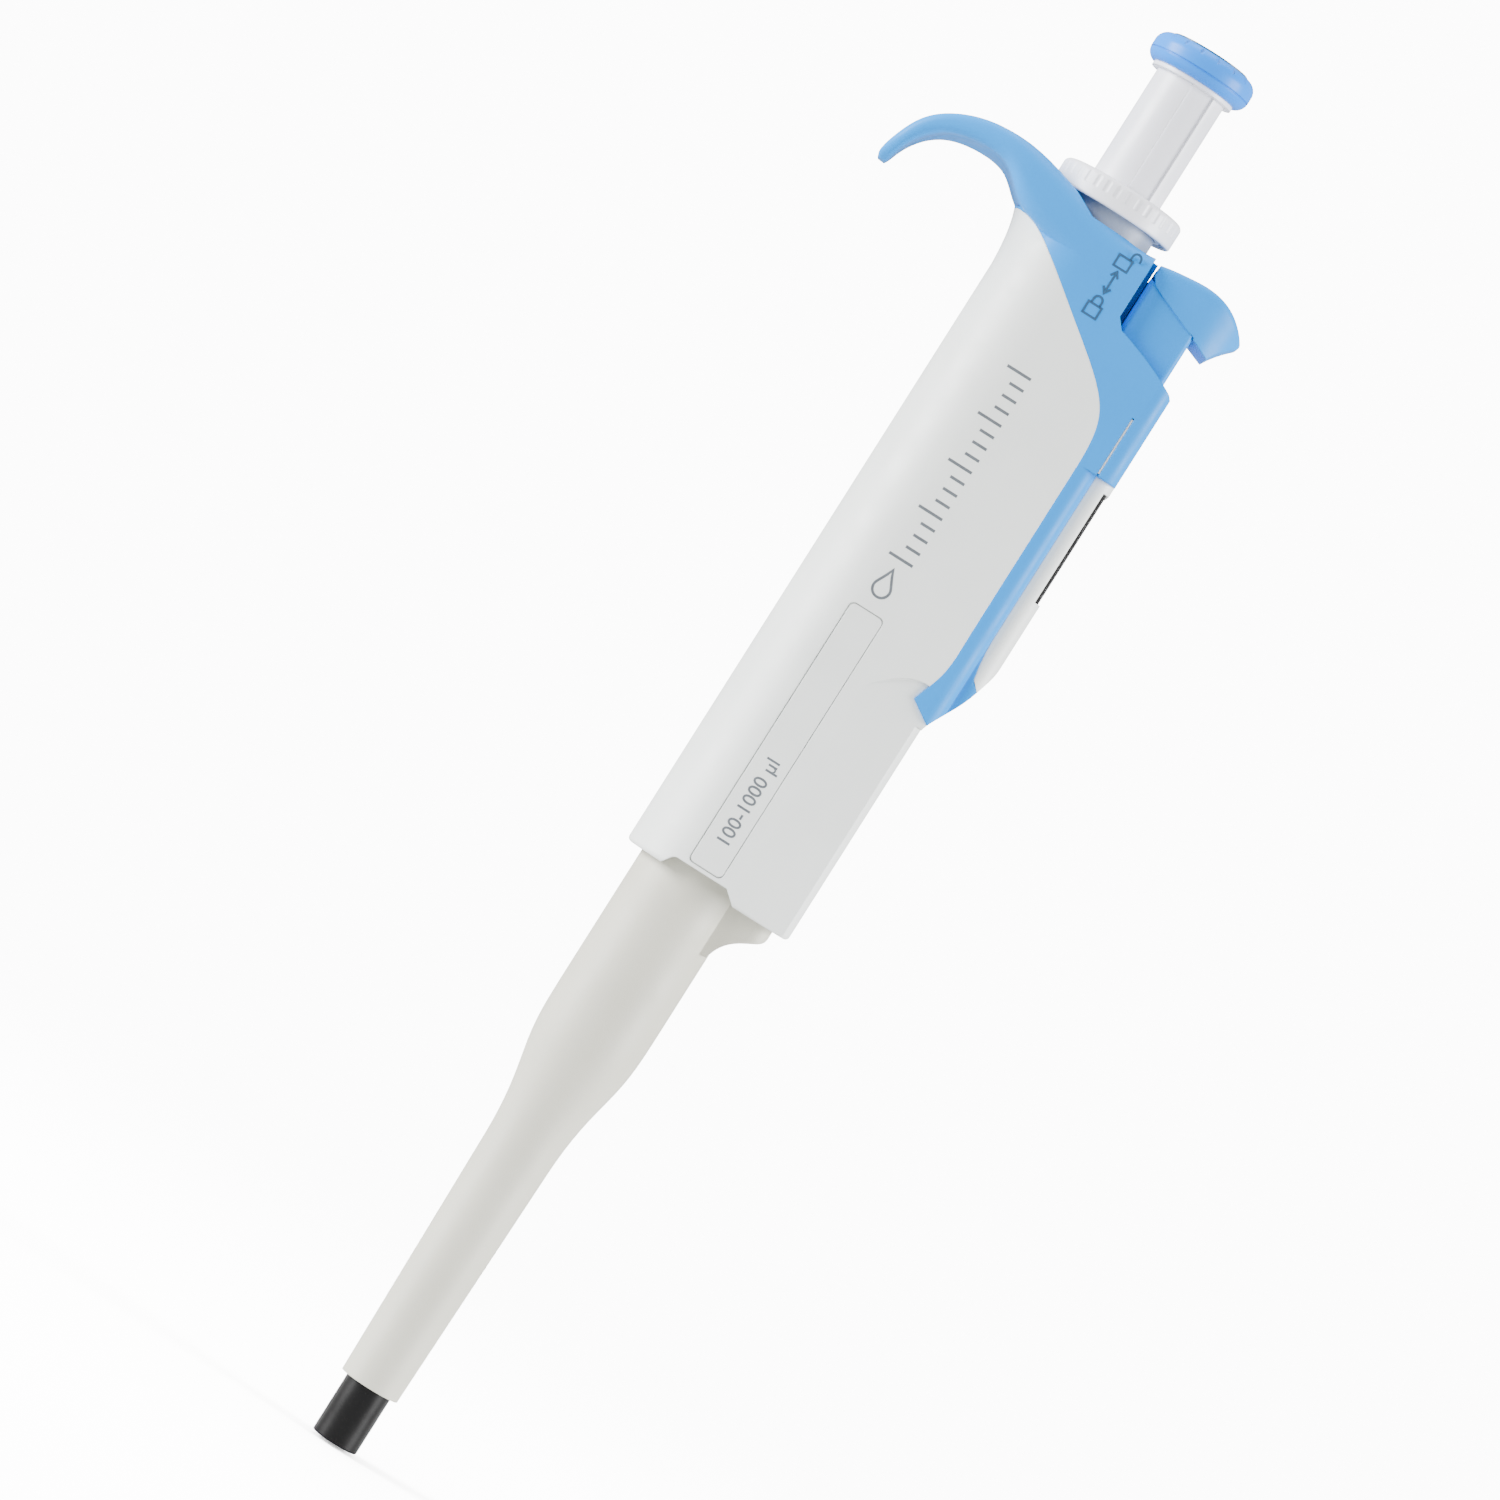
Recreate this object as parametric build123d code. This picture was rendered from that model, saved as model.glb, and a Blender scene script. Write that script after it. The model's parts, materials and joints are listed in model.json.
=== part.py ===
from build123d import *

import os
from math import cos, pi, radians, sin

# Adjustable single-channel air-displacement micropipette, 1000 microlitre size.
# Frame: origin at the centre of the nose's open end, +Z along the pipette towards the push button,
# +X towards the front (display window and ejector button), -X towards the finger hook.
# All sizes are in millimetres.

# --- Overall proportions -------------------------------------------------------------------------
GRIP_BOTTOM = 97.4          # lower rim of the grip
GRIP_HALF_WIDTH = 10.95     # also the radius of the round back
GRIP_FRONT = 16.7           # front face of the slim lower grip
STRIP_FRONT = 18.5          # front face of the counter housing's side rails
FACE_FRONT = 21.75          # front face of the display bezel and of the head box
WALL = 1.3                  # moulded wall thickness
RELIEF_DEPTH = 0.6          # how far each side of the lower grip draws in at its front
HEAD_DECK = 209.8           # flat top of the head, under the lock ring
HEAD_FRONT = 9.0            # front edge of the head's upper block
CHIN_BOTTOM = 134.7         # lower end of the blue counter housing
BEZEL_BOTTOM = 141.4        # lower end of the display bezel
BOX_BOTTOM = 178.4          # the head box starts where the bezel ends
BOX_TOP = 193.3
TRUNK_TOP = 206.0           # the strap that forms the head's top and the hook covers this
WINDOW_LOW = 158.2
WINDOW_HIGH = 176.9
WINDOW_BACK = 20.8          # floor of the recess that holds the mask and the lens
LENS_INSET = 0.35           # lens face behind the bezel face
MASK_INSET = 0.65
BEZEL_HALF_WIDTH = 8.6

# --- Nose, liquid end and ejector sleeve ---------------------------------------------------------
NOSE_R = 3.7                # seat of the disposable tip
NOSE_LENGTH = 9.6
CHANNEL_R = 1.5
CHAMBER_R = 4.6
CHAMBER_BOTTOM = 62.5
CONE_TOP = 106.0
SEAL_BOTTOM = 92.0
SLEEVE_BOTTOM = 9.7
SLEEVE_TOP = 101.0
SLEEVE_R_LOW = 4.75
SLEEVE_R_MID = 5.5
SLEEVE_R_TOP = 8.3
SLEEVE_WALL = 0.82
WING_REACH = 14.3

# --- Piston and plunger --------------------------------------------------------------------------
PISTON_R = 4.5
PISTON_BOTTOM = 78.8
PISTON_HEAD_Z = 129.3
PISTON_TOP = 134.0
BLOWOUT_Z = 112.0           # underside of the blow-out stop ring
ROD_R = 2.0
PLUNGER_R = 5.65
PLUNGER_BOTTOM = 196.5
PLUNGER_TOP = 234.3
CAP_R = 8.3
CAP_BOTTOM = 235.0
CAP_TOP = 239.6
DOME_TOP = 240.2            # crown of the cap's coloured insert, the highest point
CAP_SHOULDER = 1.9          # radius of the cap's rounded top edge
CAP_NOTCHES = 18
GROOVE_WIDTH = 3.9
GROOVE_DEPTH = 0.6
GROOVE_ANGLE = -70.0        # the first groove, 20 degrees from -Y towards +X

# --- Neck and lock ring --------------------------------------------------------------------------
NECK_R = 7.5
NECK_BORE = 6.6
NECK_BOTTOM = 184.0
NECK_TOP = 213.3
RING_R = 10.0
RING_BOTTOM = 212.2
RING_TOP = 216.3
RING_SCALLOPS = 36

# --- Mechanism -----------------------------------------------------------------------------------
CHASSIS_R = 9.3
CHASSIS_BORE = 8.3
CHASSIS_BOTTOM = 107.9
CHASSIS_DECK = 178.0
SCREW_Y = 7.9               # the two counter screws sit at this distance either side
DRIVE_R = 6.5               # wide upper part of the drive tube
DRIVE_BORE = 5.75
SCREW_R = 5.0               # narrow lower part of the drive tube
SCREW_BORE = 2.5
DRIVE_BOTTOM = 135.6
DRIVE_SHOULDER = 180.0
NUT_Z = 142.4
NUT_HEIGHT = 3.0
GEAR_MODULE = 0.5
DIAL_TEETH = 30
COUNTER_TEETH = 24
GEAR_Z = 153.4
GEAR_HEIGHT = 3.0
COUNTER_X = GEAR_MODULE * (DIAL_TEETH + COUNTER_TEETH) / 2
COUNTER_SHAFT_R = 1.2
WHEEL_R = 5.85
WHEEL_Z = 158.3
WHEEL_PITCH = 4.5
WHEEL_COUNT = 4
RING_GEAR_HEIGHT = 0.9
RIM_HEIGHT = 3.2
CARRY_MODULE = 0.46
CARRY_RING_TEETH = 20
PINION_TEETH = 8
CARRY_FILL = 0.36           # tooth width as a share of the pitch, with room for backlash
PINION_ANGLE = -125.0       # direction of the transfer shaft from the counter shaft
PINION_SHAFT_R = 0.45

# --- Ejector -------------------------------------------------------------------------------------
ROD_X = 12.2
EJECTOR_ROD_R = 1.5
ROD_BOTTOM = 94.9           # lower end of the ejector rod, in the sleeve's wing
CROSS_Z = 135.0             # underside of the ejector bar's cross-piece
EJECTOR_TRAVEL = 7.5
STEM_BOTTOM = 187.0
BUTTON_EDGE = 1.0
STEM_BACK = 9.9
STEM_HALF_WIDTH = 9.1
STEM_FRONT = 19.7

RUNNING = 0.08              # radial clearance of a running fit
ON_BASE = (Align.CENTER, Align.CENTER, Align.MIN)


# --- Shared shape helpers ------------------------------------------------------------------------
def rod(radius, low, high, x=0.0, y=0.0):
    """Round bar along Z between two heights."""
    return Pos(x, y, low) * Cylinder(radius, high - low, align=ON_BASE)


def tube(outer, inner, low, high, x=0.0, y=0.0):
    """Round tube along Z between two heights."""
    return rod(outer, low, high, x, y) - rod(inner, low - 1, high + 1, x, y)


def block(x_low, x_high, y_low, y_high, z_low, z_high):
    """Box given by its limits."""
    size = (x_high - x_low, y_high - y_low, z_high - z_low)
    corner = (Align.MIN, Align.MIN, Align.MIN)
    return Pos(x_low, y_low, z_low) * Box(*size, align=corner)


def turned(outline):
    """Solid of revolution about Z; the outline is drawn in the XZ plane as x = radius, y = height."""
    return revolve(Plane.XZ * make_face(outline), Axis.Z)


def turned_points(*points):
    """Solid of revolution about Z from straight (radius, height) corners."""
    return turned(Polyline(*points, close=True))


def side_slab(outline, half_width):
    """Closed outline in the XZ plane, thickened equally to both sides in Y."""
    return Pos(0, half_width, 0) * extrude(Plane.XZ * make_face(outline), amount=2 * half_width)


def single(shape):
    """The largest solid of a result that should be one solid."""
    return max(shape.solids(), key=lambda solid: solid.volume)


def d_section(radius, front, corner, low, high):
    """Bar with a round back, flat sides and rounded front corners."""
    tangent = front - corner
    outline = [
        ThreePointArc((0, radius), (-radius, 0), (0, -radius)),
        Line((0, -radius), (tangent, -radius)),
        JernArc((tangent, -radius), (1, 0), corner, 90),
        Line((front, corner - radius), (front, radius - corner)),
        JernArc((front, radius - corner), (0, 1), corner, 90),
        Line((tangent, radius), (0, radius)),
    ]
    return Pos(0, 0, low) * extrude(make_face(outline), amount=high - low)


def gear(teeth, module, height, z, x=0.0, y=0.0, phase=0.0, fill=0.42):
    """Straight-toothed wheel with a tooth centred at the phase angle."""
    pitch_r = teeth * module / 2
    root_r = pitch_r - 1.2 * module
    tip_r = pitch_r + 0.8 * module
    pitch_width = fill * pi * module
    root_half = 0.62 * pitch_width
    tip_half = 0.3 * pitch_width
    tooth = Polyline(
        (root_r - 0.3, -root_half),
        (tip_r, -tip_half),
        (tip_r, tip_half),
        (root_r - 0.3, root_half),
        close=True,
    )
    outline = Circle(root_r)
    for index in range(teeth):
        outline += Rot(0, 0, phase + 360 * index / teeth) * make_face(tooth)
    return Pos(x, y, z) * extrude(outline, amount=height)


def coil_spring(mean_r, wire_r, low, high, turns, x=0.0, y=0.0):
    """Compression spring whose wire stays between the two heights."""
    length = high - low - 2 * wire_r
    helix = Pos(x, y, low + wire_r) * Helix(pitch=length / turns, height=length, radius=mean_r)
    section = Plane(origin=helix @ 0, z_dir=helix % 0) * Circle(wire_r)
    return sweep(section, path=helix, is_frenet=True)


# --- Liquid end ----------------------------------------------------------------------------------
def tip_cone():
    """Nose for the disposable tip, widening to the piston chamber and the seal pocket."""
    pocket_r = 6.0
    body = turned_points(
        (CHANNEL_R, 0.0),
        (NOSE_R - 0.15, 0.0),
        (NOSE_R, 0.15),
        (NOSE_R, NOSE_LENGTH),
        (4.3, 52.0),
        (6.2, 66.0),
        (6.2, 87.0),
        (7.1, 88.5),
        (7.1, CONE_TOP),
        (pocket_r, CONE_TOP),
        (pocket_r, SEAL_BOTTOM),
        (CHAMBER_R, SEAL_BOTTOM),
        (CHAMBER_R, CHAMBER_BOTTOM),
        (CHANNEL_R, CHAMBER_BOTTOM - 3.1),
    )
    return body


def piston_seal():
    """Low-friction lip seal round the piston, with a groove for its O-ring."""
    return turned_points(
        (PISTON_R + 0.05, SEAL_BOTTOM),
        (5.95, SEAL_BOTTOM),
        (5.95, SEAL_BOTTOM + 1.6),
        (5.3, SEAL_BOTTOM + 2.5),
        (PISTON_R + 0.05, SEAL_BOTTOM + 2.5),
    )


def seal_o_ring():
    """Rubber ring that presses the lip seal against the piston."""
    return Pos(0, 0, SEAL_BOTTOM + 3.2) * Torus(5.25, 0.68)


def seal_retainer():
    """Stepped ring that holds the seal down and seats the piston spring."""
    inner_r = 4.75
    outer_r = 5.95
    low = SEAL_BOTTOM + 3.95
    step = low + 1.3
    top = low + 2.6
    return turned_points(
        (inner_r, low),
        (outer_r, low),
        (outer_r, top),
        (outer_r - 0.1, top),
        (outer_r - 0.1, step),
        (inner_r, step),
    )


def nozzle_nut():
    """Union nut that clamps the liquid end to the grip's floor."""
    nut = tube(9.2, 7.15, 104.1, 107.7)
    notch = block(8.3, 10.0, -0.9, 0.9, 104.9, 108.0)
    for index in range(6):
        nut -= Rot(0, 0, 60 * index + 30) * notch
    return nut


def piston():
    """Ground piston with a slimmer stem at the top."""
    stem_r = 2.5
    shoulder = 116.0
    return turned_points(
        (0, PISTON_BOTTOM),
        (PISTON_R - 0.4, PISTON_BOTTOM),
        (PISTON_R, PISTON_BOTTOM + 0.4),
        (PISTON_R, shoulder),
        (stem_r, shoulder + 1.0),
        (stem_r, PISTON_TOP),
        (0, PISTON_TOP),
    )


def piston_head():
    """Flanged collar on the piston stem that takes the spring's push."""
    disc = rod(6.3, PISTON_HEAD_Z, PISTON_HEAD_Z + 1.6)
    hub = rod(3.9, PISTON_HEAD_Z, PISTON_TOP - 0.4)
    return disc + hub - rod(2.5, PISTON_HEAD_Z - 1, PISTON_TOP + 1)


def piston_spring():
    """Return spring of the plunger, from the seal retainer to the piston head."""
    return coil_spring(5.3, 0.42, SEAL_BOTTOM + 5.25, PISTON_HEAD_Z, 9)


def blowout_ring():
    """Stop ring that carries the piston head at the end of the blow-out stage."""
    inner_r = 5.95
    step_r = 7.2
    outer_r = 8.2
    low = BLOWOUT_Z
    return turned_points(
        (inner_r, low),
        (outer_r, low),
        (outer_r, low + 1.4),
        (step_r, low + 1.4),
        (step_r, low + 0.9),
        (inner_r, low + 0.9),
    )


def blowout_spring():
    """Stiff second-stage spring below the stop ring."""
    return coil_spring(7.45, 0.5, CHASSIS_BOTTOM, BLOWOUT_Z, 2.5)


# --- Mechanism -----------------------------------------------------------------------------------
def chassis_tube():
    """Inner frame: open at the front for the counter, slotted for the stop nut, decked at the top."""
    frame = tube(CHASSIS_R, CHASSIS_BORE, CHASSIS_BOTTOM, CHASSIS_DECK)
    frame += tube(CHASSIS_R, DRIVE_R + RUNNING, CHASSIS_DECK, NECK_BOTTOM)
    frame -= block(3.0, 12.0, -12.0, 12.0, 150.5, CHASSIS_DECK)
    frame -= block(-4.3, 12.0, -12.0, 12.0, CHASSIS_DECK - 2.0, CHASSIS_DECK)
    frame -= block(-1.7, 1.7, -12.0, 12.0, 135.4, 153.4)
    for side in (-1, 1):
        frame -= rod(0.7, CHASSIS_DECK - 1, CHASSIS_DECK + 4.5, 0.0, SCREW_Y * side)
    return frame


def stop_nut():
    """Volume stop: a threaded disc kept from turning by two wings in the chassis slots."""
    nut = rod(CHASSIS_BORE - 0.3, NUT_Z, NUT_Z + NUT_HEIGHT)
    nut += block(-1.35, 1.35, -CHASSIS_R + 0.2, CHASSIS_R - 0.2, NUT_Z, NUT_Z + NUT_HEIGHT)
    return nut - rod(SCREW_R + RUNNING, NUT_Z - 1, NUT_Z + NUT_HEIGHT + 1)


def groove_boxes(width, depth, low, high):
    """Two opposed bars that follow the plunger's grooves."""
    bar = block(PLUNGER_R - depth, PLUNGER_R + 2.0, -width / 2, width / 2, low, high)
    return [Rot(0, 0, GROOVE_ANGLE) * bar, Rot(0, 0, GROOVE_ANGLE + 180) * bar]


def drive_tube():
    """Volume spindle: a wide keyed tube above and a narrow threaded one below."""
    tube_outline = turned_points(
        (SCREW_BORE, DRIVE_BOTTOM),
        (SCREW_R, DRIVE_BOTTOM),
        (SCREW_R, DRIVE_SHOULDER - 1.5),
        (DRIVE_R, DRIVE_SHOULDER),
        (DRIVE_R, NECK_TOP - 0.1),
        (DRIVE_BORE, NECK_TOP - 0.1),
        (DRIVE_BORE, DRIVE_SHOULDER + 0.6),
        (SCREW_BORE, DRIVE_SHOULDER + 0.6),
    )
    for bar in groove_boxes(GROOVE_WIDTH - 0.5, GROOVE_DEPTH - 0.2, 200.0, NECK_TOP - 0.6):
        tube_outline += bar & rod(DRIVE_BORE + 0.2, 199.0, NECK_TOP)
    return tube_outline


def dial_gear():
    """Gear on the spindle that drives the counter."""
    wheel = gear(DIAL_TEETH, GEAR_MODULE, GEAR_HEIGHT, GEAR_Z)
    return wheel - rod(SCREW_R, GEAR_Z - 1, GEAR_Z + GEAR_HEIGHT + 1)


def push_rod():
    """Rod from the push button down to the piston stem."""
    return rod(ROD_R, PISTON_TOP + 0.1, CAP_BOTTOM + 2.6)


def plunger_sleeve():
    """Fluted sleeve below the push button that turns the spindle and slides in it."""
    flange_r = 6.7
    inner = 4.4
    sleeve = turned_points(
        (ROD_R, PLUNGER_TOP - 2.0),
        (inner, PLUNGER_TOP - 2.0),
        (inner, PLUNGER_BOTTOM),
        (PLUNGER_R, PLUNGER_BOTTOM),
        (PLUNGER_R, PLUNGER_TOP),
        (flange_r, PLUNGER_TOP),
        (flange_r, CAP_BOTTOM),
        (ROD_R, CAP_BOTTOM),
    )
    for bar in groove_boxes(GROOVE_WIDTH, GROOVE_DEPTH, PLUNGER_BOTTOM - 1, PLUNGER_TOP):
        sleeve -= bar
    return sleeve


def button_cap():
    """Push button and volume knob: a disc with rounded edges and shallow notches around its shoulder."""
    shoulder = CAP_SHOULDER
    outline = [
        Line((0, CAP_BOTTOM), (CAP_R - 1.2, CAP_BOTTOM)),
        ThreePointArc((CAP_R - 1.2, CAP_BOTTOM), (CAP_R - 0.4, CAP_BOTTOM + 0.6), (CAP_R, CAP_BOTTOM + 1.6)),
        Line((CAP_R, CAP_BOTTOM + 1.6), (CAP_R, CAP_TOP - shoulder)),
        JernArc((CAP_R, CAP_TOP - shoulder), (0, 1), shoulder, 90),
        Line((CAP_R - shoulder, CAP_TOP), (0, CAP_TOP)),
        Line((0, CAP_TOP), (0, CAP_BOTTOM)),
    ]
    cap = turned(outline)
    cap -= rod(6.3, CAP_TOP - 0.7, CAP_TOP + 1)
    cap -= rod(ROD_R, CAP_BOTTOM - 1, CAP_BOTTOM + 2.6)
    cap -= tube(CAP_R + 1, CAP_R - 0.15, CAP_BOTTOM + 1.4, CAP_BOTTOM + 1.6)
    return cap - cap_notches()


def cap_notches():
    """Slanted bars that cut the finger notches into the cap's shoulder."""
    bar_r = 0.45
    depth = 0.16
    reach = (CAP_SHOULDER + bar_r - depth) * sin(radians(45))
    place = Pos(CAP_R - CAP_SHOULDER + reach, 0, CAP_TOP - CAP_SHOULDER + reach)
    bar = place * Rot(0, -45, 0) * Cylinder(bar_r, 2.4)
    bars = Part()
    for index in range(CAP_NOTCHES):
        bars += Rot(0, 0, 360 / CAP_NOTCHES * index) * bar
    return bars


def cap_insert():
    """Coloured disc with a shallow dome, set into the top of the push button."""
    dome_r = 55.0
    disc = rod(6.25, CAP_TOP - 0.7, DOME_TOP + 0.1)
    return disc & Pos(0, 0, DOME_TOP - dome_r) * Rot(90, 0, 0) * Sphere(dome_r)


def neck_collar():
    """Fixed collar that the lock ring slides on, with its seat on the chassis deck."""
    return turned_points(
        (NECK_BORE, NECK_BOTTOM),
        (9.0, NECK_BOTTOM),
        (9.0, NECK_BOTTOM + 1.8),
        (NECK_R, NECK_BOTTOM + 1.8),
        (NECK_R, NECK_TOP),
        (NECK_BORE, NECK_TOP),
    )


def calibration_ring():
    """Slotted adjusting ring round the foot of the neck."""
    low = NECK_BOTTOM + 2.0
    ring = tube(8.9, NECK_R, low, low + 3.0)
    for index in range(8):
        ring -= Rot(0, 0, 45 * index) * block(8.3, 9.5, -0.5, 0.5, low + 1.2, low + 4)
    return ring


def lock_ring():
    """Volume lock: a ring with a plain lower lip, a scalloped upper band and a hollow underside."""
    lip = 1.7
    outline = [
        Line((NECK_R + RUNNING, RING_BOTTOM + 0.2), (8.3, RING_BOTTOM + 0.2)),
        Line((8.3, RING_BOTTOM + 0.2), (8.3, RING_BOTTOM + 1.4)),
        Line((8.3, RING_BOTTOM + 1.4), (9.2, RING_BOTTOM + 1.4)),
        Line((9.2, RING_BOTTOM + 1.4), (9.2, RING_BOTTOM)),
        Line((9.2, RING_BOTTOM), (RING_R - 0.4, RING_BOTTOM)),
        JernArc((RING_R - 0.4, RING_BOTTOM), (1, 0), 0.4, 90),
        Line((RING_R, RING_BOTTOM + 0.4), (RING_R, RING_TOP - 0.9)),
        JernArc((RING_R, RING_TOP - 0.9), (0, 1), 0.9, 90),
        Line((RING_R - 0.9, RING_TOP), (PLUNGER_R + 0.3, RING_TOP)),
        Line((PLUNGER_R + 0.3, RING_TOP), (PLUNGER_R + 0.3, RING_TOP - 0.9)),
        Line((PLUNGER_R + 0.3, RING_TOP - 0.9), (NECK_R + RUNNING, RING_TOP - 0.9)),
        Line((NECK_R + RUNNING, RING_TOP - 0.9), (NECK_R + RUNNING, RING_BOTTOM + 0.2)),
    ]
    ring = turned(outline)
    scallop = rod(0.9, RING_BOTTOM + lip, RING_TOP + 1, RING_R + 0.78)
    for index in range(RING_SCALLOPS):
        ring -= Rot(0, 0, 360 / RING_SCALLOPS * (index + 0.5)) * scallop
    return ring


# --- Counter -------------------------------------------------------------------------------------
def transfer_place():
    """Axis of the transfer shaft that carries the pinions."""
    distance = CARRY_MODULE * (CARRY_RING_TEETH + PINION_TEETH) / 2
    x = COUNTER_X + distance * cos(radians(PINION_ANGLE))
    y = distance * sin(radians(PINION_ANGLE))
    return x, y


def counter_frame():
    """Bracket with two plates and a side strap that carries the counter's two shafts."""
    pinion_x, pinion_y = transfer_place()
    low_z = WHEEL_Z - 1.4
    outline = d_section(9.2, 17.0, 1.4, low_z, CHASSIS_DECK)
    outline += block(16.0, 19.2, -6.6, 6.6, low_z, CHASSIS_DECK)
    outline -= block(3.0, 30.0, 6.8, 20.0, low_z - 1, CHASSIS_DECK + 1)
    top = outline & block(-4.0, 30.0, -20.0, 20.0, CHASSIS_DECK - 1.0, CHASSIS_DECK)
    top -= rod(SCREW_R + 0.5, 170, 180)
    bottom = outline & block(7.0, 30.0, -20.0, 20.0, low_z, low_z + 1.0)
    strap = block(9.0, 16.4, -9.4, -8.5, low_z, CHASSIS_DECK)
    frame = top + bottom + strap
    frame -= rod(2.5, 150, 160, COUNTER_X)
    frame -= rod(COUNTER_SHAFT_R, CHASSIS_DECK - 2, CHASSIS_DECK + 1, COUNTER_X)
    frame -= rod(PINION_SHAFT_R, 150, 180, pinion_x, pinion_y)
    for side in (-1, 1):
        frame -= rod(0.75, 170, 180, 0.0, SCREW_Y * side)
    return frame


def counter_screws():
    """Two pan-head screws that hold the counter to the chassis deck."""
    screws = []
    for side in (-1, 1):
        y = SCREW_Y * side
        head = rod(1.2, CHASSIS_DECK - 1.8, CHASSIS_DECK - 1.0, 0.0, y)
        shank = rod(0.68, CHASSIS_DECK - 1.0, CHASSIS_DECK + 4.2, 0.0, y)
        slot = block(-1.3, 1.3, y - 0.15, y + 0.15, CHASSIS_DECK - 2.0, CHASSIS_DECK - 1.5)
        screws.append(head + shank - slot)
    return Compound(children=[single(screw) for screw in screws])


def counter_shaft():
    """Fixed axle of the number wheels."""
    return rod(COUNTER_SHAFT_R, GEAR_Z - 0.8, CHASSIS_DECK, COUNTER_X)


def counter_gear():
    """Gear below the wheels; its hub joins it to the fastest wheel."""
    half_step = 180 / COUNTER_TEETH
    wheel = gear(COUNTER_TEETH, GEAR_MODULE, GEAR_HEIGHT, GEAR_Z, COUNTER_X, 0.0, half_step)
    wheel += rod(2.2, GEAR_Z + GEAR_HEIGHT, WHEEL_Z + 0.9, COUNTER_X)
    return wheel - rod(COUNTER_SHAFT_R + RUNNING, GEAR_Z - 1, WHEEL_Z + 2, COUNTER_X)


def number_wheel(index):
    """Digit wheel with a raised rim; all but the fastest carry a ring gear below."""
    low = WHEEL_Z + index * WHEEL_PITCH
    rim_low = low + RING_GEAR_HEIGHT
    wheel = rod(WHEEL_R, rim_low, rim_low + RIM_HEIGHT, COUNTER_X)
    wheel -= tube(WHEEL_R - 0.9, 2.6, rim_low + 1.2, rim_low + RIM_HEIGHT + 1, COUNTER_X)
    if index > 0:
        wheel += gear(
            CARRY_RING_TEETH, CARRY_MODULE, RING_GEAR_HEIGHT, low, COUNTER_X, 0.0, PINION_ANGLE, CARRY_FILL
        )
    return wheel - rod(COUNTER_SHAFT_R + RUNNING, low - 1, low + 6, COUNTER_X)


def transfer_shaft():
    """Thin axle of the transfer pinions."""
    x, y = transfer_place()
    return rod(PINION_SHAFT_R, WHEEL_Z - 1.4, CHASSIS_DECK, x, y)


def transfer_pinion(index):
    """Small gear that meshes with the ring gear of one number wheel."""
    x, y = transfer_place()
    low = WHEEL_Z + (index + 1) * WHEEL_PITCH + 0.05
    phase = PINION_ANGLE + 180 + 180 / PINION_TEETH
    pinion = gear(PINION_TEETH, CARRY_MODULE, RING_GEAR_HEIGHT - 0.1, low, x, y, phase, CARRY_FILL)
    return pinion - rod(PINION_SHAFT_R + RUNNING, low - 1, low + 2, x, y)


# --- Ejector -------------------------------------------------------------------------------------
def sleeve_outline(inset, low, high):
    """Half section of the ejector sleeve, drawn inwards by the given inset."""
    bottom_r = SLEEVE_R_LOW - inset
    middle_r = SLEEVE_R_MID - inset
    top_r = SLEEVE_R_TOP - inset
    return [
        Line((0, low), (bottom_r, low)),
        Line((bottom_r, low), (middle_r, 50.0)),
        Spline((middle_r, 50.0), (6.55 - inset, 60.0), (7.6 - inset, 65.0), (top_r, 77.0),
               tangents=((0.02, 1), (0, 1))),
        Line((top_r, 77.0), (top_r, high)),
        Line((top_r, high), (0, high)),
        Line((0, high), (0, low)),
    ]


def ejector_sleeve():
    """Outer barrel that slides down the nose to push the tip off, with the wing that drives it."""
    barrel = turned(sleeve_outline(0.0, SLEEVE_BOTTOM, SLEEVE_TOP))
    wing_side = [
        Line((0, SLEEVE_TOP), (0, 89.0)),
        Line((0, 89.0), (8.1, 89.0)),
        Spline((8.1, 89.0), (10.0, 92.5), (12.8, 94.3), (WING_REACH, 96.2), tangents=((0.2, 1), (0, 1))),
        Line((WING_REACH, 96.2), (WING_REACH, SLEEVE_TOP)),
        Line((WING_REACH, SLEEVE_TOP), (0, SLEEVE_TOP)),
    ]
    wing_half_width = 4.6
    wing = side_slab(wing_side, wing_half_width)
    wing &= d_section(wing_half_width, WING_REACH, 2.5, 80, 110)
    bore = turned(sleeve_outline(SLEEVE_WALL, SLEEVE_BOTTOM - 0.001, SLEEVE_TOP + 1))
    socket = rod(EJECTOR_ROD_R, ROD_BOTTOM, SLEEVE_TOP + 1, ROD_X)
    return barrel + wing - bore - socket


def ejector_bar():
    """Drive bar of the ejector: a round rod below, a cross-piece, and a flat bar past the counter."""
    low_rod = rod(EJECTOR_ROD_R, ROD_BOTTOM, 137.0, ROD_X)
    cross = block(10.6, 14.4, -2.4, 8.8, CROSS_Z, CROSS_Z + 4.0)
    return low_rod + cross + bar_flat(137.0, STEM_BOTTOM + 1)


def bar_flat(low, high):
    """Flat upper part of the ejector bar between two heights."""
    return block(10.9, 14.4, 7.6, 8.8, low, high)


def ejector_spring():
    """Return spring of the ejector round its rod, from the grip's floor to the cross-piece."""
    return coil_spring(2.15, 0.3, 104.1, CROSS_Z, 13, ROD_X)


def ejector_stem():
    """Hollow stem under the ejector button that telescopes into the head."""
    stem = stem_form(STEM_BOTTOM)
    stem = fillet(stem.edges().filter_by(Axis.Z), 0.9)
    inner = STEM_HALF_WIDTH - WALL
    stem -= block(STEM_BACK + WALL, STEM_FRONT - WALL, -inner, inner, STEM_BOTTOM - 1, 201.0)
    return stem - bar_flat(STEM_BOTTOM - 1, STEM_BOTTOM + 1)


def stem_form(low):
    """Solid form of the stem from the given height up to its sloping top."""
    side = Polyline((STEM_BACK, low), (STEM_FRONT, low), (STEM_FRONT, 202.9), (STEM_BACK, 207.0), close=True)
    return side_slab(side, STEM_HALF_WIDTH)


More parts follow.
